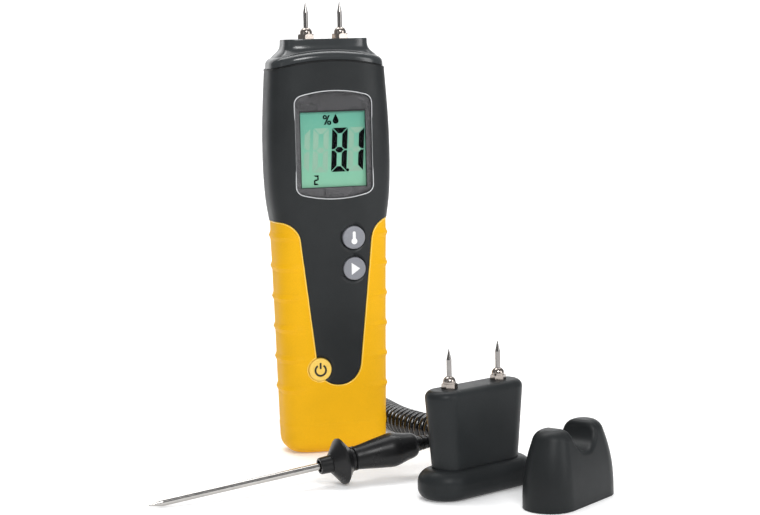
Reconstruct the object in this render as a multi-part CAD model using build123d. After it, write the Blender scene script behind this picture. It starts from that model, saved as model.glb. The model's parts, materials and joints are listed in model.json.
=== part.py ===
from build123d import *
import os
from math import copysign, cos, hypot, pi, radians, sin, tan

# Two-pin moisture meter that stands on its flat base, with its three loose accessories on the same
# surface: a needle temperature probe on a curly lead, a remote pin block, and a pin cap.
# Millimetres.  The origin is the centre of the meter's base; its front faces -Y and +Z is up.

# ---- driving dimensions: meter case ----
PLATFORM_Z = 198.0      # flat platform that the electrodes stand on
SEAM_SIDE_Z = 183.8     # seam between case and electrode head, at the sides
SEAM_RISE = 4.2         # the seam arches up by this much at the middle
SEAM_GAP = 0.6
PARTING_Y = 2.0         # front and rear shells meet here
BODY_POWER = 3.4        # squareness of the rounded-oblong sections
SECTION_POINTS = 24
BASE_RADIUS = 7.0
FOOT_STEPS = 4
GRIP_SKIN = 1.6
CASE_WALL = 2.0
CAVITY_INSET = GRIP_SKIN + CASE_WALL
GROOVE = 0.5            # dark line between the grip and the case

# height, half width, half depth of the case's outline
CASE_STATIONS = [
    (0.0, 25.0, 14.2),
    (23.0, 25.6, 14.6),
    (60.0, 26.3, 15.0),
    (100.0, 27.15, 15.4),
    (112.0, 27.9, 15.6),
    (118.5, 28.9, 15.85),
    (128.0, 29.8, 16.1),
    (143.0, 30.2, 16.3),
    (158.0, 29.9, 16.3),
    (171.0, 29.2, 16.1),
    (184.0, 28.3, 15.9),
    (192.0, 27.7, 15.7),
]
# the electrode head: a shoulder whose crest arches like the seam, and a flared neck above it
SHOULDER_STATIONS = [
    (180.0, 28.0, 15.5),
    (184.0, 27.85, 15.4),
    (188.0, 27.6, 15.3),
    (192.0, 27.3, 15.2),
    (196.0, 27.0, 15.1),
]
SHOULDER_HIGH = 4.4     # from the seam to the top of the shoulder
SHOULDER_ROUND = 3.4
# height, half width, half depth, squareness
NECK_STATIONS = [
    (186.0, 26.2, 13.8, 3.6),
    (188.5, 25.5, 13.3, 3.7),
    (191.0, 23.5, 11.8, 4.0),
    (193.5, 21.0, 9.9, 4.6),
    (196.0, 20.4, 9.4, 4.9),
    (PLATFORM_Z, 20.2, 9.2, 5.0),
]
NECK_ROUND = 1.2
HEAD_WALL = 3.0
HEAD_HOLLOW_HIGH = 1.0  # from the seam to the ceiling of the head's hollow

# ---- driving dimensions: grip ----
GRIP_TOP_Z = 112.0
GRIP_CORNER = 10.0
GRIP_PROUD = 0.15
GRIP_WAIST_Z = 103.0    # above this the grip's sides run straight up, just inside the case
RIB_TOP_Z = 105.0
RIB_PITCH = 14.7
RIB_COUNT = 6
RIB_HEIGHT = 0.75
RIB_FOOT = 2.1            # a rib reaches this far above and below its crest
FOOT_TOP_Z = 15.0
# half width at the grip's top, half width at the foot, height of the foot, corner radius there
FRONT_TONGUE = (18.7, 10.0, 33.1, 10.9)
REAR_TONGUE = (20.0, 18.5, 8.5, 9.0)

# ---- driving dimensions: display ----
WINDOW_HALF = 18.8
WINDOW_LOW_Z = 125.9
WINDOW_HIGH_Z = 170.6
WINDOW_ARCH = 3.0
WINDOW_CORNER = 4.4
WINDOW_FRONT_Y = -14.9
WINDOW_THICK = 1.5
MASK_THICK = 1.0
LCD_HALF = 16.25
LCD_LOW_Z = 127.9
LCD_HIGH_Z = 164.5
LCD_FRONT_Y = -11.4

# ---- driving dimensions: keys ----
KEY_RADIUS = 5.5
KEY_GAP = 0.45
KEY_PROUD = 0.9
KEY_TRAVEL = 0.8
KEY_SEAT_Y = -11.6
KEY_FLANGE_RADIUS = 6.5
KEY_DISH_RADIUS = 7.6   # shallow dish round each key
KEY_DISH_DEEP = 0.7
KEYS = {"temp_button": (8.4, 103.9), "next_button": (8.4, 89.0), "power_button": (-9.6, 41.4)}

# ---- driving dimensions: electronics and battery ----
BOARD_FRONT_Y = -7.6
BOARD_THICK = 1.6
BOARD_HALF = 17.4
BOARD_LOW_Z = 31.0
BOARD_HIGH_Z = 176.0
BOARD_SCREWS = [(-14.5, 116.0), (14.5, 116.0), (-14.5, 34.0), (14.5, 34.0)]
BOARD_SCREW_LONG = 2.4
BATTERY_SIZE = (26.5, 17.5, 46.4)
BATTERY_CENTRE_Y = 3.75
BATTERY_LOW_Z = 46.0
DOOR_HALF = 16.5
DOOR_THICK = 1.8
DOOR_HIGH_Z = 102.0
DOOR_GAP = 0.4
DOOR_PIVOT_Y = 13.2
DOOR_PIVOT_Z = 40.0
DOOR_KNUCKLE = 2.0
SCREW_SPOTS = [(-21.9, 166.0), (21.9, 166.0), (-12.5, 24.0), (12.5, 24.0)]

# ---- driving dimensions: electrodes, the same on the meter and on the remote block ----
HEAD_PIN_X = 8.35
NEEDLE_RADIUS = 1.14
NEEDLE_HIGH = 17.3
NEEDLE_POINT = 4.8
NEEDLE_BURIED = 2.0
HEX_FLATS = 7.4
BLOCK_HEX_FLATS = 6.2
HEX_HIGH = 2.3
DOME_RADIUS = 2.95
DOME_HIGH = 3.2
DOME_ROUND = 2.6
STUD_RADIUS = 2.4
STUD_LONG = 11.0
EASY = 0.02             # radial clearance of a pin in its seat

# ---- driving dimensions: socket, plug and curly lead ----
SOCKET_Z = 20.0
JACK_RADIUS = 1.75
JACK_LONG = 14.0
BARREL_RADIUS = 3.0
BARREL_END_Y = 15.4
PLUG_GRIP_LONG = 18.0
PLUG_RELIEF_LONG = 12.0
WIRE_DIAMETER = 3.5
COIL_DIAMETER = 14.0
TAIL_LONG = 6.0

# ---- driving dimensions: temperature probe, measured along its axis from the guard disc ----
DISC_CENTRE = (-17.0, -75.5, 10.45)
PROBE_YAW = 6.9
PROBE_TILT = 5.9
DISC_RADIUS = 10.5
SHANK_RADIUS = 1.6
SHANK_TIP = -91.0
SHANK_POINT = 7.0
SHANK_INSIDE = 8.0
HANDLE_END = 37.0
RELIEF_LONG = 12.0

# ---- driving dimensions: remote pin block and pin cap ----
BLOCK_CENTRE = (34.9, -108.0)
BLOCK_YAW = 24.0
BLOCK_BASE = (29.9, 12.4, 13.0)     # half length, half thickness, height
BLOCK_FOOT = (23.0, 8.0)            # half length, half thickness at the base
BLOCK_HEAD = (26.5, 8.5)            # and at the top
BLOCK_HIGH = 47.3
BLOCK_WALL = 2.2
BLOCK_PIN_X = 14.6
SCREW_X = 11.0
SCREW_POST_Z = 23.0
BLOCK_JACK_Z = 28.0
JACK_BODY_RADIUS = 3.6
CAP_CENTRE = (65.7, -139.6)
CAP_YAW = 36.0
# height, half length, half thickness
CAP_STATIONS = [
    (0.0, 26.4, 11.8),
    (10.0, 26.1, 11.6),
    (19.0, 24.6, 10.5),
    (27.0, 21.9, 8.8),
    (33.2, 19.3, 7.2),
]
CAP_WALL = 2.0
SCOOP_RADIUS = 8.6
SCOOP_Z = 31.2
SCOOP_EDGE = 2.4
CAP_EDGE = 6.0


# ---- shared shapes ----
def smooth_step(low, high, value):
    t = min(max((value - low) / (high - low), 0.0), 1.0)
    return t * t * (3 - 2 * t)


def section(z, half_width, half_depth, power=BODY_POWER, bulge=0.0):
    """A rounded oblong at one height; a bulge raises its sides and fades out towards the front."""
    points = []
    for i in range(SECTION_POINTS):
        turn = 2 * pi * i / SECTION_POINTS
        x = copysign(abs(cos(turn)) ** (2 / power), cos(turn))
        y = copysign(abs(sin(turn)) ** (2 / power), sin(turn))
        swell = bulge * smooth_step(0.48, 0.82, abs(x))
        points.append(((half_width + swell) * x, (half_depth + swell) * y, z))
    return make_face(Spline(points, periodic=True))


def between(stations, z):
    """Half width and half depth at height z, along straight lines between the stations."""
    for low, high in zip(stations, stations[1:]):
        if low[0] <= z <= high[0]:
            t = (z - low[0]) / (high[0] - low[0])
            return [a + t * (b - a) for a, b in zip(low[1:3], high[1:3])]
    raise ValueError(f"height {z} is outside the body")


def rounded_foot(stations, low_z, radius):
    """Stations that start on low_z with a quarter-round foot, then follow the given ones."""
    foot = []
    for i in range(FOOT_STEPS):
        turn = 0.5 * pi * i / FOOT_STEPS
        z = low_z + radius * (1 - cos(turn))
        half_width, half_depth = between(stations, z)
        draw_in = radius * (1 - sin(turn))
        foot.append((z, half_width - draw_in, half_depth - draw_in))
    clear_z = low_z + max(radius, 1.0)
    foot.append((clear_z, *between(stations, clear_z)))
    return foot + [s[:3] for s in stations if s[0] > clear_z + 1]


def case_form(inset, low_z=0.0, radius=BASE_RADIUS):
    """The case's outer form, drawn in by inset, standing on low_z with a rounded foot."""
    stations = rounded_foot(CASE_STATIONS, low_z, radius)
    return loft([section(z, w - inset, d - inset) for z, w, d in stations])


def shoulder_form(inset):
    return loft([section(z, w - inset, d - inset) for z, w, d in SHOULDER_STATIONS])


def surface_y(x, z, inset=0.0):
    """Y of the case's front at a place on it."""
    half_width, half_depth = between(CASE_STATIONS, z)
    t = 1 - (abs(x) / (half_width - inset)) ** BODY_POWER
    return -(half_depth - inset) * t ** (1 / BODY_POWER)


def front_prism(region, y_low, y_high):
    """A region drawn in X and Z, made solid from y_low to y_high."""
    return Pos(0, y_high, 0) * extrude(Plane.XZ * region, y_high - y_low)


def bar_y(radius, y_low, y_high, x=0.0, z=0.0):
    """A round bar along Y."""
    middle = (y_low + y_high) / 2
    return Pos(x, middle, z) * Rot(90, 0, 0) * Cylinder(radius, y_high - y_low)


def bar_z(radius, z_low, z_high, x=0.0, y=0.0):
    return Pos(x, y, (z_low + z_high) / 2) * Cylinder(radius, z_high - z_low)


def block(x, y, z):
    """A box from three (low, high) pairs."""
    size = [high - low for low, high in (x, y, z)]
    middle = [(high + low) / 2 for low, high in (x, y, z)]
    return Pos(*middle) * Box(*size)


def stadium(half_long, half_thick):
    return SlotOverall(2 * half_long, 2 * half_thick)


def group(*solids):
    return Compound(children=[s.solid() for s in solids])


def wire_run(points, radii, radius):
    """A round wire along straight runs joined by arcs."""
    path = FilletPolyline(*points, radius=radii)
    start = Plane(path @ 0, z_dir=path % 0)
    return sweep(start * Circle(radius), path=path)


nodes = {}

# ---- case, grip and head ----
below_seam = make_face(
    [
        Line((-40, -5), (40, -5)),
        Line((40, -5), (40, SEAM_SIDE_Z - 4.0)),
        ThreePointArc((40, SEAM_SIDE_Z - 4.0), (0, SEAM_SIDE_Z + SEAM_RISE), (-40, SEAM_SIDE_Z - 4.0)),
        Line((-40, SEAM_SIDE_Z - 4.0), (-40, -5)),
    ]
)
under_seam = front_prism(below_seam, -30, 30)
half_gap = SEAM_GAP / 2


def grip_region(top_half, foot_half, foot_z, radius, grow=0.0):
    """The grip as drawn on the front or rear: everything below its top, less a rounded tongue."""
    tongue = Polygon(
        (-top_half + grow, GRIP_TOP_Z + grow),
        (-foot_half + grow, foot_z + grow),
        (foot_half - grow, foot_z + grow),
        (top_half - grow, GRIP_TOP_Z + grow),
        align=None,
    )
    feet = tongue.vertices().sort_by(Axis.Y)[0:2]
    tongue = fillet(feet, radius - grow)
    full = Pos(0, (GRIP_TOP_Z + grow - 5) / 2) * Rectangle(80, GRIP_TOP_Z + grow + 5)
    region = full - tongue
    corners = [v for v in region.vertices() if abs(v.Y - GRIP_TOP_Z - grow) < 0.01 and abs(v.X) < 30]
    return fillet(corners, GRIP_CORNER + grow)


def grip_zone(tongue, y_low, y_high, grow=0.0):
    return front_prism(grip_region(*tongue, grow=grow), y_low, y_high)


outer = case_form(0.0)
under_skin = case_form(GRIP_SKIN, low_z=GRIP_SKIN, radius=BASE_RADIUS - GRIP_SKIN)
cavity = case_form(CAVITY_INSET, low_z=CAVITY_INSET, radius=BASE_RADIUS - CAVITY_INSET)


def grip_station(z, swell=0.0):
    """The grip's outer outline at one height."""
    half_width, half_depth = between(CASE_STATIONS, min(z, GRIP_WAIST_Z))
    return section(z, half_width + GRIP_PROUD, half_depth + GRIP_PROUD, bulge=swell)


foot_stations = [s for s in rounded_foot(CASE_STATIONS, 0.0, BASE_RADIUS) if s[0] < 8]
foot_sections = [section(z, w + GRIP_PROUD, d + GRIP_PROUD) for z, w, d in foot_stations]
foot_sections += [grip_station((BASE_RADIUS + FOOT_TOP_Z) / 2), grip_station(FOOT_TOP_Z)]
rib_profile = [(-1.0, 0.0), (-0.35, 0.6), (0.0, 1.0), (0.35, 0.6), (1.0, 0.0)]
ribbed_sections = [grip_station(FOOT_TOP_Z)]
for i in reversed(range(RIB_COUNT)):
    for lift, swell in rib_profile:
        rib_z = RIB_TOP_Z - i * RIB_PITCH + lift * RIB_FOOT
        ribbed_sections.append(grip_station(rib_z, swell * RIB_HEIGHT))
ribbed_sections.append(grip_station(GRIP_TOP_Z + 3))
ribbed = loft(foot_sections) + loft(ribbed_sections, ruled=True)
skin = ribbed - under_skin

front_half = block((-40, 40), (-30, PARTING_Y), (-5, 220))
rear_half = block((-40, 40), (PARTING_Y, 30), (-5, 220))

# display window: a flat pane let into the curved front
window_outline = make_face(
    [
        Line((-WINDOW_HALF, WINDOW_LOW_Z), (-WINDOW_HALF, WINDOW_HIGH_Z)),
        ThreePointArc(
            (-WINDOW_HALF, WINDOW_HIGH_Z), (0, WINDOW_HIGH_Z + WINDOW_ARCH), (WINDOW_HALF, WINDOW_HIGH_Z)
        ),
        Line((WINDOW_HALF, WINDOW_HIGH_Z), (WINDOW_HALF, WINDOW_LOW_Z)),
        ThreePointArc(
            (WINDOW_HALF, WINDOW_LOW_Z), (0, WINDOW_LOW_Z - WINDOW_ARCH), (-WINDOW_HALF, WINDOW_LOW_Z)
        ),
    ]
)
window_outline = fillet(window_outline.vertices(), WINDOW_CORNER)
pane_outline = offset(window_outline, -0.15)
lcd_aperture = Pos(0, (LCD_LOW_Z + LCD_HIGH_Z) / 2) * Rectangle(2 * LCD_HALF, LCD_HIGH_Z - LCD_LOW_Z)
window_back_y = WINDOW_FRONT_Y + WINDOW_THICK
mask_back_y = window_back_y + MASK_THICK

case_shell = outer - cavity
front_case = (case_shell & front_half) & (Pos(0, 0, -half_gap) * under_seam)
front_case -= (outer - under_skin) & grip_zone(FRONT_TONGUE, -30, 30, grow=GROOVE)
front_case -= front_prism(window_outline, -30, -5)
front_case -= block((-19.1, 19.1), (mask_back_y, -5), (122.0, 170.5))
for x, z in SCREW_SPOTS:
    front_case += bar_y(2.8, -12.0, PARTING_Y - 0.2, x, z)
for x, z in BOARD_SCREWS:
    front_case += bar_y(2.4, -12.0, BOARD_FRONT_Y, x, z)
for x, z in SCREW_SPOTS:
    front_case -= bar_y(1.4, -7.0, 10, x, z)
for x, z in BOARD_SCREWS:
    front_case -= bar_y(1.3, BOARD_FRONT_Y - BOARD_SCREW_LONG - 0.1, 10, x, z)
for x, z in KEYS.values():
    front_case -= bar_y(KEY_RADIUS + KEY_GAP, -30, -5, x, z)
    front_case -= bar_y(KEY_FLANGE_RADIUS + 0.5, KEY_SEAT_Y, -5, x, z)
for x, z in KEYS.values():
    mouth_y = surface_y(x, z) - 0.1
    dish = Cone(KEY_RADIUS + KEY_GAP, KEY_DISH_RADIUS, KEY_DISH_DEEP)
    front_case -= Pos(x, mouth_y + KEY_DISH_DEEP / 2, z) * Rot(90, 0, 0) * dish
nodes["front_case"] = front_case

door_zone = block((-DOOR_HALF, DOOR_HALF), (5, 30), (DOOR_PIVOT_Z, DOOR_HIGH_Z))
door_zone += Pos(0, DOOR_PIVOT_Y, DOOR_PIVOT_Z) * Rot(0, 90, 0) * Cylinder(DOOR_KNUCKLE, 2 * DOOR_HALF)
door_recess = block(
    (-DOOR_HALF - DOOR_GAP, DOOR_HALF + DOOR_GAP), (5, 30), (DOOR_PIVOT_Z, DOOR_HIGH_Z + DOOR_GAP)
)
knuckle_room = Rot(0, 90, 0) * Cylinder(DOOR_KNUCKLE + DOOR_GAP, 2 * (DOOR_HALF + DOOR_GAP))
door_bed = case_form(DOOR_THICK + 0.2)

rear_case = (case_shell & rear_half) & (Pos(0, 0, -half_gap) * under_seam)
rear_case -= (outer - under_skin) & grip_zone(REAR_TONGUE, -30, 30, grow=GROOVE)
for x, z in SCREW_SPOTS:
    rear_case += bar_y(3.6, PARTING_Y, 12.5, x, z)
rear_case -= (outer - door_bed) & door_recess
rear_case -= Pos(0, DOOR_PIVOT_Y, DOOR_PIVOT_Z) * knuckle_room
rear_case -= block((-14, 14), (5, 30), (43.5, 99.5))
for x, z in SCREW_SPOTS:
    rear_case -= bar_y(1.6, -5, 30, x, z)
    rear_case -= bar_y(2.9, 11.1, 30, x, z)
rear_case -= bar_y(BARREL_RADIUS + 0.1, 5, 30, 0, SOCKET_Z)
nodes["rear_case"] = rear_case

grip_front = (skin & front_half) & grip_zone(FRONT_TONGUE, -30, 30)
power_x, power_z = KEYS["power_button"]
grip_front -= bar_y(KEY_RADIUS + KEY_GAP, -30, -5, power_x, power_z)
nodes["grip_front"] = grip_front
nodes["grip_rear"] = (skin & rear_half) & grip_zone(REAR_TONGUE, -30, 30)

shoulder = shoulder_form(0.0) & (Pos(0, 0, SHOULDER_HIGH) * under_seam)
shoulder = fillet(shoulder.edges().sort_by(Axis.Z)[-1], SHOULDER_ROUND)
head = shoulder + loft([section(z, w, d, p) for z, w, d, p in NECK_STATIONS])


def at_neck_foot(edge):
    box = edge.bounding_box()
    return 186.5 < box.min.Z and box.max.Z < 195.0


head = fillet(head.edges().filter_by(at_neck_foot), NECK_ROUND)
head -= shoulder_form(HEAD_WALL) & (Pos(0, 0, HEAD_HOLLOW_HIGH) * under_seam)
head -= Pos(0, 0, half_gap) * under_seam
for x in (-HEAD_PIN_X, HEAD_PIN_X):
    head -= bar_z(STUD_RADIUS + EASY, 150, 230, x)
nodes["electrode_head"] = head

gasket_slab = (Pos(0, 0, half_gap) * under_seam) - (Pos(0, 0, -half_gap) * under_seam)
gasket_ring = shoulder_form(0.7) - shoulder_form(2.7)
nodes["head_gasket"] = gasket_ring & gasket_slab


# ---- electrodes ----
def needle(x, y, seat_z):
    """A steel pin with a long point, standing in its collet and stud."""
    top_z = seat_z + NEEDLE_HIGH
    shaft = bar_z(NEEDLE_RADIUS, seat_z - NEEDLE_BURIED, top_z - NEEDLE_POINT, x, y)
    point = Pos(x, y, top_z - NEEDLE_POINT / 2) * Cone(NEEDLE_RADIUS, 0.12, NEEDLE_POINT)
    return shaft + point


def collet(x, y, seat_z, turn, flats=HEX_FLATS):
    """A hexagon nut with a domed top that clamps the needle."""
    hexagon = extrude(RegularPolygon(flats / 2, 6, major_radius=False), HEX_HIGH)
    hexagon &= bar_z(flats / 2 + 0.3, -1, HEX_HIGH + 1) + bar_z(flats, -1, HEX_HIGH - 0.4)
    dome = bar_z(min(DOME_RADIUS, flats / 2 - 0.3), HEX_HIGH, HEX_HIGH + DOME_HIGH)
    dome = fillet(dome.edges().group_by(Axis.Z)[-1], DOME_ROUND)
    nut = hexagon + dome - bar_z(NEEDLE_RADIUS + EASY, -15, 15)
    return Pos(x, y, seat_z) * Rot(0, 0, turn) * nut


def stud(x, y, seat_z):
    """The threaded brass insert under the collet."""
    body = bar_z(STUD_RADIUS, seat_z - STUD_LONG, seat_z, x, y)
    collar = bar_z(STUD_RADIUS + 1.2, seat_z - STUD_LONG, seat_z - STUD_LONG + 1.2, x, y)
    return body + collar - bar_z(NEEDLE_RADIUS + EASY, seat_z - NEEDLE_BURIED - 0.2, seat_z + 1, x, y)


head_pins = [-HEAD_PIN_X, HEAD_PIN_X]
nodes["head_needles"] = group(*[needle(x, 0, PLATFORM_Z) for x in head_pins])
nodes["head_collets"] = group(*[collet(x, 0, PLATFORM_Z, 10) for x in head_pins])
nodes["head_studs"] = group(*[stud(x, 0, PLATFORM_Z) for x in head_pins])
lead_points = [(0, 0, PLATFORM_Z - STUD_LONG), (0, 0, 181.5), (0, -6.8, 179.5), (0, -6.8, BOARD_HIGH_Z)]
nodes["electrode_leads"] = group(
    *[Pos(x, 0, 0) * wire_run(lead_points, [2.2, 1.6], 0.5) for x in head_pins]
)

# ---- display ----
nodes["display_window"] = front_prism(pane_outline, WINDOW_FRONT_Y, window_back_y)
nodes["display_mask"] = front_prism(pane_outline - lcd_aperture, window_back_y, mask_back_y)
lcd_y = (LCD_FRONT_Y, LCD_FRONT_Y + 1.5)
nodes["lcd_glass"] = block((-17.6, 17.6), lcd_y, (124.2, 168.0))
nodes["lcd_backlight"] = block((-17.0, 17.0), (LCD_FRONT_Y + 1.6, BOARD_FRONT_Y - 0.2), (128.2, 167.6))
lcd_frame = block((-18.9, 18.9), (mask_back_y + 0.1, BOARD_FRONT_Y), (122.4, 170.2))
lcd_frame -= block((-17.8, 17.8), (-20, 0), (124.0, 168.2))
nodes["lcd_frame"] = lcd_frame
nodes["zebra_strip"] = block((-16, 16), (lcd_y[1], BOARD_FRONT_Y), (124.6, 127.6))

# ---- keys ----
for name, (x, z) in KEYS.items():
    face_y = surface_y(x, z) - KEY_PROUD
    cap = bar_y(KEY_RADIUS, face_y, KEY_SEAT_Y + 0.3, x, z)
    cap = fillet(cap.edges().group_by(Axis.Y)[0], 0.7)
    flange = bar_y(KEY_FLANGE_RADIUS, KEY_SEAT_Y + 0.3, KEY_SEAT_Y + 1.3, x, z)
    plunger = bar_y(2.0, KEY_SEAT_Y + 1.3, BOARD_FRONT_Y - 0.5 - KEY_TRAVEL - 0.05, x, z)
    nodes[name] = cap + flange + plunger
nodes["key_domes"] = group(
    *[bar_y(3.2, BOARD_FRONT_Y - 0.5, BOARD_FRONT_Y, x, z) for x, z in KEYS.values()]
)

# ---- circuit board ----
board_back_y = BOARD_FRONT_Y + BOARD_THICK
board = block((-BOARD_HALF, BOARD_HALF), (BOARD_FRONT_Y, board_back_y), (BOARD_LOW_Z, BOARD_HIGH_Z))
for x, z in BOARD_SCREWS:
    board -= bar_y(1.3, -20, 20, x, z)
nodes["circuit_board"] = board
nodes["board_chips"] = group(
    block((-6, 6), (board_back_y, board_back_y + 1.6), (140, 152)),
    block((-12, -7), (board_back_y, board_back_y + 1.2), (122, 128)),
    block((5, 12), (board_back_y, board_back_y + 1.2), (120, 125)),
    block((-13, -9), (board_back_y, board_back_y + 2.4), (156, 164)),
    block((8, 13), (board_back_y, board_back_y + 1.8), (158, 163)),
)


def board_screw(x, z):
    shaft = bar_y(1.25, BOARD_FRONT_Y - BOARD_SCREW_LONG, board_back_y, x, z)
    return shaft + bar_y(2.2, board_back_y, board_back_y + 0.7, x, z)


nodes["board_screws"] = group(*[board_screw(x, z) for x, z in BOARD_SCREWS])

# ---- battery bay ----
size_x, size_y, size_z = BATTERY_SIZE
battery_top_z = BATTERY_LOW_Z + size_z
battery = Pos(0, BATTERY_CENTRE_Y, BATTERY_LOW_Z + size_z / 2) * Box(*BATTERY_SIZE)
nodes["battery"] = fillet(battery.edges().filter_by(Axis.Z), 2.0)
nodes["battery_terminals"] = group(
    bar_z(2.85, battery_top_z, battery_top_z + 2.4, -6.35, BATTERY_CENTRE_Y),
    bar_z(3.9, battery_top_z, battery_top_z + 2.4, 6.35, BATTERY_CENTRE_Y),
)
snap_y = (BATTERY_CENTRE_Y - 5.5, BATTERY_CENTRE_Y + 5.5)
snap = block((-12.6, 12.6), snap_y, (battery_top_z + 0.1, 98.0))
for x in (-6.35, 6.35):
    snap -= bar_z(4.1, 90, battery_top_z + 2.6, x, BATTERY_CENTRE_Y)
nodes["battery_snap"] = snap
snap_lead = [(0, 0.5, 98.0), (0, 0.5, 106.0), (0, board_back_y, 106.0)]
nodes["battery_leads"] = group(*[Pos(x, 0, 0) * wire_run(snap_lead, [2.5], 0.55) for x in (-4, 4)])
pad_y = (board_back_y + 0.05, BATTERY_CENTRE_Y - size_y / 2)
nodes["battery_pad"] = block((-11, 11), pad_y, (50, 86))
door = (outer - case_form(DOOR_THICK)) & door_zone
for i in range(4):
    groove_z = 92.0 + 2.2 * i
    door -= Pos(0, between(CASE_STATIONS, groove_z)[1], groove_z) * Rot(0, 90, 0) * Cylinder(0.5, 14)
nodes["battery_door"] = door
nodes["case_screws"] = group(
    *[bar_y(1.35, -5.0, 11.2, x, z) + bar_y(2.6, 11.2, 13.0, x, z) for x, z in SCREW_SPOTS]
)

# ---- probe socket and plug ----
socket_body = block((-5, 5), (-2, 10.6), (SOCKET_Z - 5, SOCKET_Z + 5))
jack_hole = bar_y(JACK_RADIUS + 0.05, BARREL_END_Y - JACK_LONG - 0.4, 20, 0, SOCKET_Z)
nodes["probe_socket"] = socket_body - jack_hole
barrel = bar_y(BARREL_RADIUS, 10.6, BARREL_END_Y - 0.1, 0, SOCKET_Z)
nodes["socket_barrel"] = barrel - jack_hole

jack = bar_y(JACK_RADIUS, BARREL_END_Y - JACK_LONG + 1.6, BARREL_END_Y, 0, SOCKET_Z)
jack += Pos(0, BARREL_END_Y - JACK_LONG + 0.8, SOCKET_Z) * Rot(90, 0, 0) * Cone(JACK_RADIUS, 0.9, 1.6)
nodes["probe_plug"] = jack
grip_end_y = BARREL_END_Y + PLUG_GRIP_LONG
plug_grip = bar_y(4.4, BARREL_END_Y, grip_end_y, 0, SOCKET_Z)
plug_grip = fillet(plug_grip.edges().group_by(Axis.Y)[-1], 1.4)
for i in range(4):
    groove_y = BARREL_END_Y + 4.0 + 3.0 * i
    plug_grip -= bar_y(6, groove_y, groove_y + 0.9, 0, SOCKET_Z) - bar_y(4.0, 0, 60, 0, SOCKET_Z)
nodes["plug_grip"] = plug_grip
relief_end_y = grip_end_y + PLUG_RELIEF_LONG


def ribbed_sleeve(length, root_radius, tip_radius, groove_depth=0.45, groove_count=4):
    """A tapered strain relief along +Z with ring grooves."""
    sleeve = Pos(0, 0, length / 2) * Cone(root_radius, tip_radius, length)
    pitch = length / (groove_count + 1)
    for i in range(groove_count):
        z = pitch * (i + 1)
        radius = root_radius + (tip_radius - root_radius) * z / length
        sleeve -= Pos(0, 0, z) * (Cylinder(radius + 2, pitch * 0.4) - Cylinder(radius - groove_depth, pitch))
    return sleeve


toward_plug = Plane(origin=(0, grip_end_y, SOCKET_Z), z_dir=(0, 1, 0))
nodes["plug_relief"] = toward_plug * ribbed_sleeve(PLUG_RELIEF_LONG, 3.2, 2.3)

# ---- temperature probe: a solid of revolution about its own axis, lying on disc rim and tip ----
yaw, tilt = radians(PROBE_YAW), radians(PROBE_TILT)
probe_axis = Vector(cos(yaw) * cos(tilt), sin(yaw) * cos(tilt), sin(tilt))
probe_frame = Plane(origin=DISC_CENTRE, z_dir=probe_axis)


def turned(*profile):
    """A solid of revolution from (radius, distance along the axis) corners."""
    return revolve(make_face(Plane.XZ * Polyline(*profile, close=True)), Axis.Z)


shank_bore = SHANK_RADIUS + EASY
shank = turned(
    (0.15, SHANK_TIP),
    (SHANK_RADIUS, SHANK_TIP + SHANK_POINT),
    (SHANK_RADIUS, SHANK_INSIDE),
    (0.9, SHANK_INSIDE),
    (0.9, SHANK_TIP + SHANK_POINT + 1.5),
    (0.0, SHANK_TIP + SHANK_POINT + 1.5),
    (0.0, SHANK_TIP),
)
bead = turned((0, -82.3), (0.8, -82.3), (0.8, -78.0), (0, -78.0))
ferrule = turned(
    (shank_bore, -9.2),
    (2.7, -9.2),
    (2.7, -10.6),
    (3.45, -10.6),
    (3.75, -10.2),
    (3.95, -5.2),
    (shank_bore, -5.2),
)
disc = turned(
    (shank_bore, -5.2),
    (4.6, -5.2),
    (10.0, -0.95),
    (DISC_RADIUS - 0.1, -0.5),
    (DISC_RADIUS - 0.1, 0.3),
    (10.0, 0.65),
    (5.9, 3.9),
    (shank_bore, 3.9),
)
collar = turned(
    (shank_bore, 3.9),
    (5.6, 3.9),
    (5.6, 4.8),
    (4.8, 5.1),
    (4.8, 5.6),
    (5.5, 5.9),
    (5.5, 6.6),
    (shank_bore, 6.6),
)
handle_neck = Plane.XZ * Polyline((5.2, 6.6), (5.5, 8.5))
handle_curve = Plane.XZ * Spline(
    (5.5, 8.5),
    (6.7, 16.5),
    (7.5, 22.0),
    (7.75, 24.6),
    (7.35, 27.4),
    (6.2, 32.0),
    (4.9, 36.2),
    (3.9, HANDLE_END),
)
handle_core = Plane.XZ * Polyline(
    (3.9, HANDLE_END),
    (0, HANDLE_END),
    (0, SHANK_INSIDE + 0.2),
    (shank_bore, SHANK_INSIDE + 0.2),
    (shank_bore, 6.6),
    (5.2, 6.6),
)
handle_outline = [*handle_neck.edges(), *handle_curve.edges(), *handle_core.edges()]
handle = revolve(make_face(handle_outline), Axis.Z)
relief = Pos(0, 0, HANDLE_END) * ribbed_sleeve(RELIEF_LONG, 3.5, 2.4)
probe_pieces = {
    "probe_shank": shank,
    "sensor_bead": bead,
    "probe_ferrule": ferrule,
    "guard_disc": disc,
    "neck_collar": collar,
    "probe_handle": handle,
    "handle_relief": relief,
}
for name, piece in probe_pieces.items():
    nodes[name] = probe_frame * piece

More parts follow.
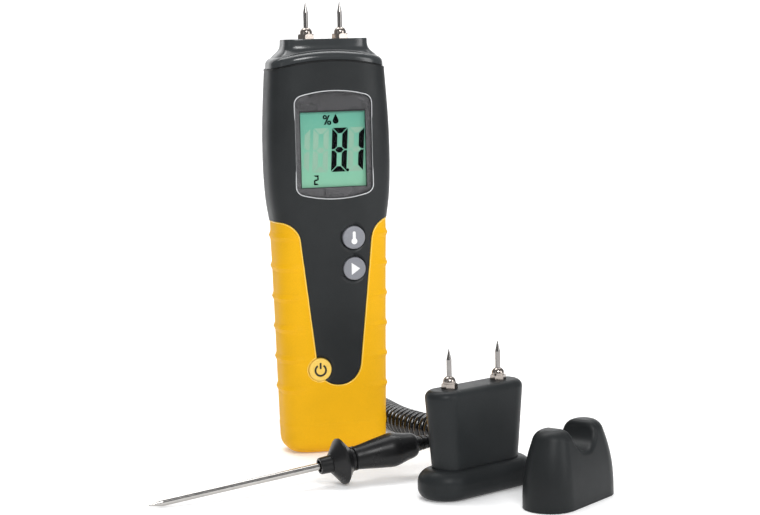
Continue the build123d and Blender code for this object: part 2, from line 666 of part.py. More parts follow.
# ---- curly lead: from the handle's strain relief, round behind the meter, to the plug ----
lead_start = Vector(*DISC_CENTRE) + probe_axis * (HANDLE_END + RELIEF_LONG)
coil_start = lead_start + probe_axis * TAIL_LONG
lead_end = Vector(0, relief_end_y, SOCKET_Z)
coil_end = lead_end + Vector(0, TAIL_LONG, 0)
coil_route = [
    coil_start,
    coil_start + probe_axis * 10.0,
    Vector(56.5, -62.5, 13.2),
    Vector(62.0, -51.0, 8.6),
    Vector(60.5, -35.5, 7.1),
    Vector(52.0, -19.0, 7.1),
    Vector(43.5, -1.0, 7.1),
    Vector(38.5, 19.0, 7.1),
    Vector(38.0, 39.0, 7.1),
    Vector(37.0, 57.0, 7.1),
    Vector(30.5, 71.5, 7.9),
    Vector(18.0, 79.5, 10.6),
    Vector(5.5, 75.0, 16.0),
    coil_end + Vector(0, 11.0, 0),
    coil_end,
]


def arc_radii(points):
    """The largest arcs that straight runs leave room for: 0.45 of the shorter run at each corner."""
    radii = []
    for before, corner, after in zip(points, points[1:], points[2:]):
        turn = radians((corner - before).get_angle(after - corner))
        shorter = min((corner - before).length, (after - corner).length)
        radii.append(0.45 * shorter / tan(turn / 2))
    return radii


coil_radii = arc_radii(coil_route)
print("coil radii", [round(r, 1) for r in coil_radii])
coil_path = FilletPolyline(*coil_route, radius=coil_radii)
coil = wire_run(coil_route, coil_radii, COIL_DIAMETER / 2)
coil_area = pi * COIL_DIAMETER**2 / 4
coil_ratio = coil.volume / (coil_area * coil_path.length)
print("coil length", round(coil_path.length, 1), "volume ratio", coil_ratio)
nodes["curly_lead"] = coil
wire_radius = WIRE_DIAMETER / 2
nodes["lead_tail_probe"] = Plane(origin=lead_start, z_dir=probe_axis) * bar_z(wire_radius, 0, TAIL_LONG)
nodes["lead_tail_plug"] = bar_y(wire_radius, relief_end_y, relief_end_y + TAIL_LONG, 0, SOCKET_Z)

# ---- remote pin block, drawn along X about its own centre ----
block_frame = Pos(*BLOCK_CENTRE, 0) * Rot(0, 0, BLOCK_YAW)
base_long, base_thick, base_high = BLOCK_BASE
base = extrude(stadium(base_long, base_thick), base_high)
base = fillet(base.edges().group_by(Axis.Z)[-1], 6.0)
base = fillet(base.edges().group_by(Axis.Z)[0], 4.5)
for x in (-SCREW_X, SCREW_X):
    base -= bar_z(1.6, -5, 20, x)
    base -= bar_z(3.0, -5, 2.6, x)


def block_form(inset, low_z, high_z):
    foot = Pos(0, 0, low_z) * stadium(BLOCK_FOOT[0] - inset, BLOCK_FOOT[1] - inset)
    top = Pos(0, 0, high_z) * stadium(BLOCK_HEAD[0] - inset, BLOCK_HEAD[1] - inset)
    return loft([foot, top])


body = block_form(0.0, base_high, BLOCK_HIGH)
body = fillet(body.edges().group_by(Axis.Z)[-1], 3.4)
body -= block_form(BLOCK_WALL, base_high - 0.01, BLOCK_HIGH - 3.2)
for x in (-SCREW_X, SCREW_X):
    body += bar_z(3.0, base_high, SCREW_POST_Z, x)
    body += block((x - 0.8, x + 0.8), (-7, 7), (base_high, SCREW_POST_Z))
    body -= bar_z(1.4, 0, base_high + 8, x)
block_pins = [-BLOCK_PIN_X, BLOCK_PIN_X]
for x in block_pins:
    body -= bar_z(STUD_RADIUS + EASY, 40, 60, x)
jack_height = (BLOCK_JACK_Z - base_high) / (BLOCK_HIGH - base_high)
jack_mouth = BLOCK_FOOT[0] + (BLOCK_HEAD[0] - BLOCK_FOOT[0]) * jack_height + 0.7


def bar_x(radius, x_low, x_high, z):
    return Pos((x_low + x_high) / 2, 0, z) * Rot(0, 90, 0) * Cylinder(radius, x_high - x_low)


jack_foot = jack_mouth - 14.6
body -= bar_x(BARREL_RADIUS + 0.1, 15, 40, BLOCK_JACK_Z)
remote_jack = bar_x(JACK_BODY_RADIUS, jack_foot, jack_mouth - 4.9, BLOCK_JACK_Z)
remote_jack += bar_x(BARREL_RADIUS, jack_foot, jack_mouth, BLOCK_JACK_Z)
remote_jack -= bar_x(JACK_RADIUS + 0.05, jack_mouth - 13.0, 60, BLOCK_JACK_Z)
remote_screw = bar_z(1.35, 2.0, base_high + 6.5) + bar_z(2.7, 0.5, 2.4)
stud_foot_z = BLOCK_HIGH - STUD_LONG
far_lead = [
    (-BLOCK_PIN_X, 0, stud_foot_z),
    (-BLOCK_PIN_X, 0, 31.0),
    (0, 0, BLOCK_JACK_Z),
    (jack_foot, 0, BLOCK_JACK_Z),
]
near_lead = bar_z(0.5, BLOCK_JACK_Z + JACK_BODY_RADIUS, stud_foot_z, BLOCK_PIN_X)
remote_pieces = {
    "remote_base": base,
    "remote_body": body,
    "remote_needles": group(*[needle(x, 0, BLOCK_HIGH) for x in block_pins]),
    "remote_collets": group(*[collet(x, 0, BLOCK_HIGH, 25, BLOCK_HEX_FLATS) for x in block_pins]),
    "remote_studs": group(*[stud(x, 0, BLOCK_HIGH) for x in block_pins]),
    "remote_leads": group(wire_run(far_lead, [2.5, 4.0], 0.5), near_lead),
    "remote_jack": remote_jack,
    "remote_screws": group(*[Pos(x, 0, 0) * remote_screw for x in (-SCREW_X, SCREW_X)]),
}
for name, piece in remote_pieces.items():
    nodes[name] = block_frame * piece

# ---- pin cap: a hollow rubber cap with two humps and a finger scoop between them ----
cap_frame = Pos(*CAP_CENTRE, 0) * Rot(0, 0, CAP_YAW)
cap_shape = loft([Pos(0, 0, z) * stadium(half_long, thick) for z, half_long, thick in CAP_STATIONS])
cap_shape = fillet(cap_shape.edges().group_by(Axis.Z)[-1], CAP_EDGE)
cap_shape -= Pos(0, 0, SCOOP_Z) * Rot(90, 0, 0) * Cylinder(SCOOP_RADIUS, 60)


def on_scoop(edge):
    middle = edge.center()
    return hypot(middle.X, middle.Z - SCOOP_Z) < SCOOP_RADIUS + 0.3


cap_shape = fillet(cap_shape.edges().filter_by(on_scoop), SCOOP_EDGE)
hollow = loft(
    [Pos(0, 0, z - 0.01) * stadium(long - CAP_WALL, thick - CAP_WALL) for z, long, thick in CAP_STATIONS[:4]]
)
hollow -= Pos(0, 0, SCOOP_Z) * Rot(90, 0, 0) * Cylinder(SCOOP_RADIUS + CAP_WALL, 60)
nodes["pin_cap"] = cap_frame * (cap_shape - hollow)

# ---- one STEP per piece ----
os.makedirs("parts", exist_ok=True)
for name, shape in nodes.items():
    export_step(shape, f"parts/{name}.step")
print(len(nodes), "nodes")
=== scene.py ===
import json
import math
import bmesh
import bpy
from mathutils import Matrix, Vector
from mathutils.bvhtree import BVHTree


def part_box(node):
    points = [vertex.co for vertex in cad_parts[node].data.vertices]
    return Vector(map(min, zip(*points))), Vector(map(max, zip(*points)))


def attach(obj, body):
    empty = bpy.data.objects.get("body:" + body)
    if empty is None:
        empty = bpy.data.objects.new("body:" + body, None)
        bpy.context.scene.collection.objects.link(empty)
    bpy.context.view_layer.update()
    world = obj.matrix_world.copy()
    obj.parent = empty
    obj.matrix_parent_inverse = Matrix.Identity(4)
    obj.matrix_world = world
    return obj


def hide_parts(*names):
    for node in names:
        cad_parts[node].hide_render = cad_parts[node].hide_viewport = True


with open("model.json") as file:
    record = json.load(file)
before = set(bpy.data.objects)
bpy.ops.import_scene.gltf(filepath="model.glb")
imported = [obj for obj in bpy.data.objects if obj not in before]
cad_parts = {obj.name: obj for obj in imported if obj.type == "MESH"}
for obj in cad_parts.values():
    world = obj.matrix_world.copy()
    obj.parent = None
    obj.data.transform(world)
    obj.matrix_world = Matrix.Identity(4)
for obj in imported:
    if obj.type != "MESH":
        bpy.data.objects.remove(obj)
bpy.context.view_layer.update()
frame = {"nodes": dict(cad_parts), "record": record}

# Looks, small pieces, stage and camera for the moisture meter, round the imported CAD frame.
# Sizes in named values and outlines are millimetres unless a comment says otherwise.
MM = 0.001
NODES = frame["nodes"]

# ---- camera and curly lead ----
CAMERA_PLACE = Vector((-234.8, -870.2, 199.2)) * MM
CAMERA_YAW = math.radians(16.67)
CAMERA_PITCH = math.radians(6.75)
CAMERA_ROLL = math.radians(-1.3)
CAMERA_LENS = 89.1
CAMERA_SENSOR = 36.0

# the curly lead, from the handle's strain relief to the plug's
PROBE_YAW = math.radians(6.9)
PROBE_TILT = math.radians(5.9)
DISC_CENTRE = Vector((-17.0, -75.5, 10.45))
RELIEF_END = 49.0       # from the disc, along the probe's axis
TAIL = 6.0
HALF_TAIL = TAIL / 2
WIRE = 3.5
COIL_OUTER = 14.0
COIL_PITCH = 3.7
POINTS_PER_TURN = 16
WIND_SKIP = 8           # points of the helix left out where the wire bends into its first turn
PLUG_RELIEF_END = Vector((0.0, 45.4, 20.0))


def link(obj):
    bpy.context.scene.collection.objects.link(obj)
    return obj


def make_camera():
    """A camera that looks along its yaw and pitch and is rolled a little."""
    data = bpy.data.cameras.new("camera")
    data.lens = CAMERA_LENS
    data.sensor_width = CAMERA_SENSOR
    data.clip_start = 0.01
    camera = link(bpy.data.objects.new("camera", data))
    ahead = Vector(
        (
            math.sin(CAMERA_YAW) * math.cos(CAMERA_PITCH),
            math.cos(CAMERA_YAW) * math.cos(CAMERA_PITCH),
            -math.sin(CAMERA_PITCH),
        )
    )
    right = Vector((math.cos(CAMERA_YAW), -math.sin(CAMERA_YAW), 0.0))
    up = right.cross(ahead)
    rolled_right = right * math.cos(CAMERA_ROLL) + up * math.sin(CAMERA_ROLL)
    rolled_up = up * math.cos(CAMERA_ROLL) - right * math.sin(CAMERA_ROLL)
    turn = Matrix((rolled_right, rolled_up, -ahead)).transposed().to_4x4()
    camera.matrix_world = Matrix.Translation(CAMERA_PLACE) @ turn
    bpy.context.scene.camera = camera


def nurbs(name, points, steps, bevel=0.0):
    """An open NURBS curve of order 3 through places in metres, with so many steps to a point."""
    data = bpy.data.curves.new(name, "CURVE")
    data.dimensions = "3D"
    data.resolution_u = steps
    data.bevel_depth = bevel / MM     # times the control points' radius, which is small so that
                                      # it doesn't enlarge the object's box
    data.bevel_resolution = 3
    data.use_fill_caps = True
    spline = data.splines.new("NURBS")
    spline.points.add(len(points) - 1)
    for control, place in zip(spline.points, points):
        control.co = (*place, 1.0)
        control.radius = MM
    spline.order_u = 3
    spline.use_endpoint_u = True
    return link(bpy.data.objects.new(name, data))


def line_points(curve):
    """The points along a curve that has no bevel, in order."""
    bpy.context.view_layer.update()
    mesh = bpy.data.meshes.new_from_object(curve.evaluated_get(bpy.context.evaluated_depsgraph_get()))
    points = [v.co.copy() for v in mesh.vertices]
    bpy.data.meshes.remove(mesh)
    return points


def probe_axis():
    """The direction from the probe's tip to its handle."""
    return Vector(
        (
            math.cos(PROBE_YAW) * math.cos(PROBE_TILT),
            math.sin(PROBE_YAW) * math.cos(PROBE_TILT),
            math.sin(PROBE_TILT),
        )
    )


def coil_route():
    """The centre line of the coil, the route that the CAD tube follows."""
    axis = probe_axis()
    start = DISC_CENTRE + axis * (RELIEF_END + TAIL)
    end = PLUG_RELIEF_END + Vector((0, TAIL, 0))
    route = [
        start,
        start + axis * 10.0,
        Vector((56.5, -62.5, 13.2)),
        Vector((62.0, -51.0, 8.6)),
        Vector((60.5, -35.5, 7.1)),
        Vector((52.0, -19.0, 7.1)),
        Vector((43.5, -1.0, 7.1)),
        Vector((38.5, 19.0, 7.1)),
        Vector((38.0, 39.0, 7.1)),
        Vector((37.0, 57.0, 7.1)),
        Vector((30.5, 71.5, 7.9)),
        Vector((18.0, 79.5, 10.6)),
        Vector((5.5, 75.0, 16.0)),
        end + Vector((0, 11.0, 0)),
        end,
    ]
    return [p * MM for p in route]


def resample(points, count):
    """Evenly spaced points along a chain of points."""
    reach = [0.0]
    for a, b in zip(points, points[1:]):
        reach.append(reach[-1] + (b - a).length)
    even, j = [], 0
    for i in range(count):
        want = reach[-1] * i / (count - 1)
        while j < len(reach) - 2 and reach[j + 1] < want:
            j += 1
        t = (want - reach[j]) / (reach[j + 1] - reach[j])
        even.append(points[j].lerp(points[j + 1], t))
    return even


def make_curly_lead():
    """A helix wound about the route, with a straight tail of wire at each end."""
    guide = nurbs("lead_guide", coil_route(), 6)
    chain = line_points(guide)
    bpy.data.objects.remove(guide)
    length = sum((b - a).length for a, b in zip(chain, chain[1:]))
    turns = round(length / (COIL_PITCH * MM))
    count = turns * POINTS_PER_TURN + 1
    centre = resample(chain, count)
    inside = 0.75 + 0.25 * math.cos(2 * math.pi / POINTS_PER_TURN)     # an order 3 spline cuts its corners
    radius = (COIL_OUTER - WIRE) / 2 * MM / inside
    side = Vector((0, 0, 1))
    helix = []
    for i in range(count):
        ahead = (centre[min(i + 1, count - 1)] - centre[max(i - 1, 0)]).normalized()
        side = (side - ahead * side.dot(ahead)).normalized()
        across = ahead.cross(side)
        turn = 2 * math.pi * i / POINTS_PER_TURN
        helix.append(centre[i] + (side * math.cos(turn) + across * math.sin(turn)) * radius)
    start = (DISC_CENTRE + probe_axis() * RELIEF_END) * MM
    end = PLUG_RELIEF_END * MM
    points = [start, start + probe_axis() * HALF_TAIL * MM]
    points += helix[WIND_SKIP:-WIND_SKIP]
    points += [end + Vector((0, HALF_TAIL * MM, 0)), end]
    lead = nurbs("curly_wire", points, 2, WIRE / 2 * MM)
    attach(lead, "temperature_probe")
    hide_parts("curly_lead", "lead_tail_probe", "lead_tail_plug")
    return lead


# ---- materials: every one is procedural, in object coordinates ----
PATCH = 22.0       # size of the broad changes of colour
SMUDGE = 9.0       # size of the changes of gloss


def new_material(name):
    """A material, its node tree, its shader and the object coordinates."""
    material = bpy.data.materials.new(name)
    material.use_nodes = True
    tree = material.node_tree
    shader = tree.nodes["Principled BSDF"]
    place = tree.nodes.new("ShaderNodeTexCoord").outputs["Object"]
    return material, tree, shader, place


def noise(tree, place, grain, detail=3.0, stretch=None):
    """Noise whose features are about grain millimetres across."""
    node = tree.nodes.new("ShaderNodeTexNoise")
    node.inputs["Scale"].default_value = 1000.0 / grain
    node.inputs["Detail"].default_value = detail
    if stretch:
        mapping = tree.nodes.new("ShaderNodeMapping")
        mapping.inputs["Scale"].default_value = stretch
        tree.links.new(place, mapping.inputs["Vector"])
        place = mapping.outputs["Vector"]
    tree.links.new(place, node.inputs["Vector"])
    return node.outputs["Fac"]


def ramp(tree, value, stops):
    """A value turned into a colour by stops of (position, colour)."""
    node = tree.nodes.new("ShaderNodeValToRGB")
    tree.links.new(value, node.inputs["Fac"])
    elements = node.color_ramp.elements
    elements[0].position, elements[0].color = stops[0][0], (*stops[0][1], 1.0)
    elements[1].position, elements[1].color = stops[-1][0], (*stops[-1][1], 1.0)
    for position, colour in stops[1:-1]:
        elements.new(position).color = (*colour, 1.0)
    return node.outputs["Color"]


def spread(tree, value, low, high):
    """Noise, which keeps mostly between a quarter and three quarters, spread from low to high."""
    node = tree.nodes.new("ShaderNodeMapRange")
    node.inputs["From Min"].default_value = 0.25
    node.inputs["From Max"].default_value = 0.75
    node.inputs["To Min"].default_value = low
    node.inputs["To Max"].default_value = high
    tree.links.new(value, node.inputs["Value"])
    return node.outputs["Result"]


def bump(tree, shader, value, depth):
    """Relief so many millimetres deep."""
    node = tree.nodes.new("ShaderNodeBump")
    node.inputs["Distance"].default_value = depth * MM
    tree.links.new(value, node.inputs["Height"])
    tree.links.new(node.outputs["Normal"], shader.inputs["Normal"])


def tint(colour, factor):
    return tuple(min(c * factor, 1.0) for c in colour)


def moulded(name, colour, rough, grain=0.35, depth=0.02, vary=0.12, coat=0.0, specular=0.5):
    """Moulded plastic or rubber: fine spark-eroded grain over broad, faint changes of colour and gloss."""
    material, tree, shader, place = new_material(name)
    broad = noise(tree, place, PATCH)
    fine = noise(tree, place, grain, detail=2.0)
    colours = ramp(tree, broad, [(0.3, tint(colour, 1 - vary)), (0.7, tint(colour, 1 + vary))])
    speck = tree.nodes.new("ShaderNodeMixRGB")
    speck.blend_type = "MULTIPLY"
    speck.inputs["Fac"].default_value = 0.5
    tree.links.new(colours, speck.inputs["Color1"])
    tree.links.new(ramp(tree, fine, [(0.35, (0.82,) * 3), (0.65, (1.0,) * 3)]), speck.inputs["Color2"])
    tree.links.new(speck.outputs["Color"], shader.inputs["Base Color"])
    smudge = noise(tree, place, SMUDGE, detail=5.0)
    tree.links.new(spread(tree, smudge, rough - 0.05, rough + 0.05), shader.inputs["Roughness"])
    bump(tree, shader, fine, depth)
    shader.inputs["Coat Weight"].default_value = coat
    shader.inputs["Coat Roughness"].default_value = 0.25
    shader.inputs["Specular IOR Level"].default_value = specular
    return material


def metal(name, colour, rough, stretch=(1.0, 1.0, 12.0), grain=0.4, depth=0.004):
    """Turned or drawn metal with fine lines and a faint cloudiness."""
    material, tree, shader, place = new_material(name)
    lines = noise(tree, place, grain, detail=4.0, stretch=stretch)
    cloud = noise(tree, place, 3.0, detail=4.0)
    colours = ramp(tree, cloud, [(0.3, tint(colour, 0.86)), (0.7, colour)])
    tree.links.new(colours, shader.inputs["Base Color"])
    tree.links.new(spread(tree, lines, rough * 0.8, rough * 1.5), shader.inputs["Roughness"])
    bump(tree, shader, lines, depth)
    shader.inputs["Metallic"].default_value = 1.0
    return material


def lcd_material(name):
    """Transflective display: green, lighter towards the foot and darker towards the top as painted shade
    from the opening's upper edge, with faint cloudiness.
    """
    material, tree, shader, place = new_material(name)
    low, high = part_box("lcd_glass")
    split = tree.nodes.new("ShaderNodeSeparateXYZ")
    tree.links.new(place, split.inputs["Vector"])
    height = tree.nodes.new("ShaderNodeMapRange")
    height.inputs["From Min"].default_value = low.z
    height.inputs["From Max"].default_value = high.z
    tree.links.new(split.outputs["Z"], height.inputs["Value"])
    cloud = noise(tree, place, 7.0, detail=5.0)
    blend = tree.nodes.new("ShaderNodeMath")
    blend.operation = "MULTIPLY_ADD"
    blend.inputs[1].default_value = 0.35
    tree.links.new(cloud, blend.inputs[0])
    tree.links.new(height.outputs["Result"], blend.inputs[2])
    # Painted shade: the colour darkens towards the top, where the opening's upper edge shades the display.
    stops = [(0.1, (0.28, 0.60, 0.40)), (0.6, (0.20, 0.52, 0.36)), (1.0, (0.13, 0.42, 0.31))]
    tree.links.new(ramp(tree, blend.outputs["Value"], stops), shader.inputs["Base Color"])
    tree.links.new(spread(tree, cloud, 0.28, 0.36), shader.inputs["Roughness"])
    bump(tree, shader, noise(tree, place, 0.6), 0.003)
    return material


def clear_material(name):
    """A clear window that is nearly all see-through, with a faint haze on its gloss."""
    material, tree, shader, place = new_material(name)
    haze = noise(tree, place, 8.0, detail=5.0)
    colours = ramp(tree, haze, [(0.3, (0.039, 0.045, 0.047)), (0.7, (0.042, 0.048, 0.050))])
    tree.links.new(colours, shader.inputs["Base Color"])
    tree.links.new(spread(tree, haze, 0.045, 0.055), shader.inputs["Roughness"])
    shader.inputs["Alpha"].default_value = 0.05
    shader.inputs["IOR"].default_value = 1.49
    return material


def board_material(name):
    """Solder mask over copper tracks."""
    material, tree, shader, place = new_material(name)
    brick = tree.nodes.new("ShaderNodeTexBrick")
    brick.inputs["Scale"].default_value = 420.0
    brick.inputs["Mortar Size"].default_value = 0.03
    brick.inputs["Color1"].default_value = (0.02, 0.14, 0.05, 1)
    brick.inputs["Color2"].default_value = (0.03, 0.18, 0.07, 1)
    brick.inputs["Mortar"].default_value = (0.06, 0.30, 0.12, 1)
    turn = tree.nodes.new("ShaderNodeMapping")
    turn.inputs["Rotation"].default_value = (math.pi / 2, 0, 0)
    tree.links.new(place, turn.inputs["Vector"])
    tree.links.new(turn.outputs["Vector"], brick.inputs["Vector"])
    tree.links.new(brick.outputs["Color"], shader.inputs["Base Color"])
    tree.links.new(spread(tree, noise(tree, place, 2.0), 0.25, 0.4), shader.inputs["Roughness"])
    bump(tree, shader, brick.outputs["Fac"], 0.02)
    return material


# base colours, and the look of each material slot
CHARCOAL = (0.0185, 0.0205, 0.0215)
BLACK = (0.010, 0.010, 0.011)
YELLOW = (0.82, 0.43, 0.005)

MATERIALS = {
    "case_plastic": lambda n: moulded(n, CHARCOAL, 0.40, specular=0.22),
    # Painted light: the head is the case's charcoal made 1.8 times lighter, for the light its upward-facing
    # surfaces catch.
    "head_plastic": lambda n: moulded(n, tint(CHARCOAL, 1.8), 0.18, specular=0.5),
    "door_plastic": lambda n: moulded(n, CHARCOAL, 0.42, specular=0.22),
    "block_plastic": lambda n: moulded(n, tint(CHARCOAL, 1.1), 0.38, specular=0.12),
    "grip_rubber": lambda n: moulded(n, YELLOW, 0.55, grain=0.3, depth=0.012, vary=0.04, specular=0.14),
    "cap_rubber": lambda n: moulded(n, tint(CHARCOAL, 0.85), 0.40, specular=0.16),
    "black_rubber": lambda n: moulded(n, BLACK, 0.6),
    "needle_steel": lambda n: metal(n, (0.30, 0.285, 0.275), 0.10),
    "shank_steel": lambda n: metal(n, (0.50, 0.48, 0.46), 0.15, stretch=(0.1, 1.0, 1.0)),
    "screw_steel": lambda n: metal(n, (0.20, 0.20, 0.21), 0.35),
    "nickel": lambda n: metal(n, (0.37, 0.33, 0.30), 0.13),
    "brass": lambda n: metal(n, (0.75, 0.56, 0.26), 0.25),
    "clear_window": clear_material,
    "mask_grey": lambda n: moulded(n, (0.10, 0.098, 0.102), 0.28, grain=1.2, depth=0.002, vary=0.04),
    "lcd": lcd_material,
    "white_plastic": lambda n: moulded(n, (0.78, 0.78, 0.75), 0.5, vary=0.03),
    "key_grey": lambda n: moulded(n, (0.23, 0.235, 0.26), 0.4, vary=0.05),
    "key_yellow": lambda n: moulded(n, (0.90, 0.60, 0.11), 0.45, vary=0.03),
    "board_green": board_material,
    "chip_black": lambda n: moulded(n, (0.03, 0.03, 0.032), 0.5),
    "battery_jacket": lambda n: metal(n, (0.50, 0.52, 0.56), 0.3),
    "snap_black": lambda n: moulded(n, BLACK, 0.5),
    "foam": lambda n: moulded(n, (0.08, 0.08, 0.085), 0.9, grain=0.8, depth=0.15),
    "wire_black": lambda n: moulded(n, BLACK, 0.45),
    "lead_skin": lambda n: moulded(n, (0.003, 0.003, 0.0035), 0.12, grain=0.5, depth=0.002, coat=0.2),
    "lead_plastic": lambda n: moulded(n, (0.006, 0.006, 0.006), 0.34, specular=0.3),
    "handle_plastic": lambda n: moulded(n, (0.010, 0.010, 0.0105), 0.30, depth=0.008, specular=0.28),
}
made = {slot: build(slot + "_look") for slot, build in MATERIALS.items()}


def dress_nodes():
    """Every CAD node gets the look of its own slot."""
    for part in frame["record"]["subparts"]:
        node = NODES[part["node"]]
        node.data.materials.clear()
        node.data.materials.append(made[part["material_slot"]])


# ---- small pieces in mesh code ----
def prism(name, outlines, front_y, thick, material, body):
    """Flat pieces drawn in X and Z (millimetres), made thick towards +Y from front_y (metres)."""
    mesh = bmesh.new()
    for outline in outlines:
        front = [mesh.verts.new((x * MM, front_y, z * MM)) for x, z in outline]
        back = [mesh.verts.new((x * MM, front_y + thick * MM, z * MM)) for x, z in outline]
        mesh.faces.new(front)
        mesh.faces.new(list(reversed(back)))
        count = len(outline)
        for i in range(count):
            j = (i + 1) % count
            mesh.faces.new((front[j], front[i], back[i], back[j]))
    bmesh.ops.recalc_face_normals(mesh, faces=mesh.faces[:])
    data = bpy.data.meshes.new(name)
    mesh.to_mesh(data)
    mesh.free()
    piece = link(bpy.data.objects.new(name, data))
    data.materials.append(material)
    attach(piece, body)


def arc(x, z, radius, start, stop, steps):
    """Points on an arc in X and Z, angles in degrees from +X towards +Z."""
    points = []
    for i in range(steps + 1):
        angle = math.radians(start + (stop - start) * i / steps)
        points.append((x + radius * math.cos(angle), z + radius * math.sin(angle)))
    return points


def band(x, z, radius, width, start, stop, steps=40):
    """An arc drawn with a broad pen."""
    outside = arc(x, z, radius + width / 2, start, stop, steps)
    inside = arc(x, z, radius - width / 2, stop, start, steps)
    return outside + inside


def segment_outlines(x, z, letters, width, height, pen, slant, gap):
    """Mitred seven-segment strokes for one digit whose lower left outer corner is (x, z)."""
    half = height / 2
    p, g = pen, gap
    m = p / 2
    shapes = {
        "a": [(g, height), (width - g, height), (width - p - g, height - p), (p + g, height - p)],
        "b": [(width, height - g), (width, half + g), (width - m, half + g), (width - p, half + m + g)]
        + [(width - p, height - p - g)],
        "c": [(width, half - g), (width, g), (width - p, p + g), (width - p, half - m - g)]
        + [(width - m, half - g)],
        "d": [(g, 0), (p + g, p), (width - p - g, p), (width - g, 0)],
        "e": [(0, half - g), (m, half - g), (p, half - m - g), (p, p + g), (0, g)],
        "f": [(0, height - g), (p, height - p - g), (p, half + m + g), (m, half + g), (0, half + g)],
        "g": [(m + g, half), (p + g, half + m), (width - p - g, half + m), (width - m - g, half)]
        + [(width - p - g, half - m), (p + g, half - m)],
    }
    return [[(x + u + slant * v, z + v) for u, v in shapes[letter]] for letter in letters]


def percent_outlines(x, z):
    """A percent sign about (x, z)."""
    rings = [band(x + 1.05 * side, z - 1.35 * side, 0.72, 0.7, 0, 359, 16) for side in (-1, 1)]
    return rings + [[(x - 1.55, z - 2.25), (x - 0.7, z - 2.25), (x + 1.45, z + 2.25), (x + 0.6, z + 2.25)]]


def drop_outline(x, z):
    """A drop whose round foot has its centre at (x, z)."""
    return arc(x, z, 1.45, -215, 35, 24) + [(x, z + 3.3)]


# pictograms of the keys, about the key's centre
def thermometer_outlines(x, z):
    stem = arc(x, z + 2.3, 0.72, 0, 180, 12)
    bulb = arc(x, z - 1.7, 1.45, 120, 420, 24)
    return [stem + bulb]


def arrow_outlines(x, z):
    return [[(x - 1.6, z - 2.9), (x + 2.6, z), (x - 1.6, z + 2.9)]]


def power_outlines(x, z):
    ring = band(x, z - 0.25, 2.6, 0.95, 122, 418)
    bar = [(x - 0.46, z + 0.4), (x + 0.46, z + 0.4), (x + 0.46, z + 3.4), (x - 0.46, z + 3.4)]
    return [ring, bar]


# ---- display and key marks ----
OPENING = (-16.25, 16.25, 127.9, 164.5)     # of the printed mask: left, right, foot, top
DIGIT = dict(width=7.6, height=20.8, pen=2.6, slant=0.057, gap=0.30)
SCALE_DIGIT = dict(width=2.4, height=4.6, pen=0.75, slant=0.0, gap=0.0)
DIGIT_FOOT = 135.2
DIGIT_X = (-17.6, -10.1, -0.9, 7.3)         # left edges, the first digit is an unlit one
FIRST_WIDTH = 5.9
POINT_PLACE = (7.3, 135.9)
POINT_RADIUS = 0.75
SCALE_PLACE = (-9.4, 129.3)
PERCENT_PLACE = (-2.25, 159.85)
DROP_PLACE = (2.0, 159.4)
LIT_PROUD, LIT_THICK = 0.06, 0.05
UNLIT_PROUD, UNLIT_THICK = 0.03, 0.02
MARK_PROUD, MARK_THICK = 0.05, 0.12


def make_display():
    """Lit digits, a percent sign, a drop and a scale number, over faint unlit segments."""
    black_look = moulded("lcd_ink", (0.001, 0.001, 0.0015), 0.5, vary=0.0, specular=0.0)
    ghost = moulded("lcd_ghost", (0.29, 0.50, 0.37), 0.35, vary=0.03)
    face_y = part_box("lcd_glass")[0].y
    first, second, third, last = DIGIT_X
    lit = segment_outlines(third, DIGIT_FOOT, "abcdefg", **DIGIT)
    lit += segment_outlines(last, DIGIT_FOOT, "bc", **DIGIT)
    lit.append(arc(*POINT_PLACE, POINT_RADIUS, 0, 337.5, 15))
    lit += percent_outlines(*PERCENT_PLACE)
    lit.append(drop_outline(*DROP_PLACE))
    lit += segment_outlines(*SCALE_PLACE, "abged", **SCALE_DIGIT)
    prism("lcd_digits", lit, face_y - LIT_PROUD * MM, LIT_THICK, black_look, "meter")
    pale = segment_outlines(second, DIGIT_FOOT, "abcdefg", **DIGIT)
    pale += segment_outlines(first, DIGIT_FOOT, "bc", **dict(DIGIT, width=FIRST_WIDTH))
    pale += segment_outlines(last, DIGIT_FOOT, "adefg", **DIGIT)
    prism("lcd_unlit", pale, face_y - UNLIT_PROUD * MM, UNLIT_THICK, ghost, "meter")


def make_key_marks():
    """Pictograms let into the keys: a thermometer, an arrow and a power mark."""
    white = moulded("mark_white", (0.86, 0.86, 0.86), 0.4, vary=0.02)
    black = moulded("mark_black", (0.02, 0.018, 0.015), 0.4, vary=0.0)
    marks = [
        ("temp_button", "thermometer_mark", thermometer_outlines, white, "temp_key", "key_grey"),
        ("next_button", "arrow_mark", arrow_outlines, white, "next_key", "key_grey"),
        ("power_button", "power_mark", power_outlines, black, "power_key", "key_yellow"),
    ]
    for node, name, outlines, look, body, slot_name in marks:
        low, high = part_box(node)
        middle = (low + high) / 2 / MM
        face_y = low.y - MARK_PROUD * MM
        prism(name, outlines(middle.x, middle.z), face_y, MARK_THICK, look, body)


# ---- beads along edges ----
LIP_RADIUS = 0.27
LIP_OUT = 0.3          # from the window's edge to the lip's centre line
LIP_PROBE = 0.6        # from the window's edge to where the case's height is felt
LIP_PROUD = 0.06
PROBE_START = -0.1     # metres, in front of the case
WALL_LEAN = 0.02       # limits for the normals on the two sides of a rim
WALL_OUTWARD = 0.75
SKIN_OUTWARD = 0.3
RIM_SHARP = 0.6
RIM_POINTS = 8         # shorter chains than this aren't rims
RIMS = [
    # node, heights between which the rim is followed, radius of the bead, slot
    ("grip_front", 30.5, 115.0, 0.34, "grip_rubber"),
    ("grip_rear", 5.0, 115.0, 0.34, "grip_rubber"),
    ("front_case", 178.0, 190.0, 0.24, "case_plastic"),
    ("rear_case", 178.0, 190.0, 0.24, "case_plastic"),
]


